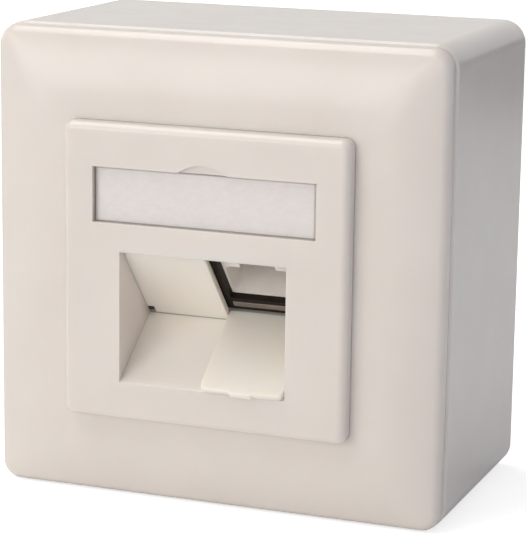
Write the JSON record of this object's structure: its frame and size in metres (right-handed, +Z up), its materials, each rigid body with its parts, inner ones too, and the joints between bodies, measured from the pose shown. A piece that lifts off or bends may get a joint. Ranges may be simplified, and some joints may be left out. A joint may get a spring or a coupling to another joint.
{
  "type": "surface-mounted network outlet box",
  "caption": "Square surface-mounted network outlet with a crowned cover frame, a labelled centre plate and slanted shielded sockets behind hinged dust flaps.",
  "frame": {"origin": "centre of the surface box's back face, on the wall", "axes": "+X to the right as seen from the front, +Y into the wall, +Z up"},
  "size_m": [0.08, 0.0507, 0.08],
  "materials": {
    "ivory_plastic": "satin-gloss moulded",
    "zinc_steel": "zinc plated",
    "die_cast_metal": "die-cast, plated",
    "black_plastic": "moulded, matt",
    "contact_metal": "gold plated",
    "board": "solder mask",
    "terminal_plastic": "moulded",
    "label_paper": "matt card",
    "clear_plastic": "clear moulded"
  },
  "bodies": {
    "base": {"surface_box": "ivory_plastic", "support_ring": "zinc_steel", "ring_screws": "zinc_steel", "jack_housing": "die_cast_metal", "housing_screws": "zinc_steel", "circuit_board": "board", "left_insert": "black_plastic", "right_insert": "black_plastic", "left_contacts": "contact_metal", "right_contacts": "contact_metal", "left_terminal": "terminal_plastic", "right_terminal": "terminal_plastic", "housing_cover": "die_cast_metal", "port_bezel": "black_plastic", "front_frame": "ivory_plastic", "centre_plate": "ivory_plastic", "hinge_pin": "zinc_steel", "centre_screw": "zinc_steel", "label_card": "label_paper", "label_window": "clear_plastic"},
    "left_flap": {"left_flap": "ivory_plastic"},
    "right_flap": {"right_flap": "ivory_plastic"}
  },
  "joints": [
    {"name": "left_flap_hinge", "type": "hinge", "parent": "base", "child": "left_flap", "pos_m": [0, -0.0369, -0.0082], "axis": [1, 0, 0], "range_deg": [0, 84.8]},
    {"name": "right_flap_hinge", "type": "hinge", "parent": "base", "child": "right_flap", "pos_m": [0, -0.0369, -0.0082], "axis": [1, 0, 0], "range_deg": [-84.8, 0]}
  ]
}
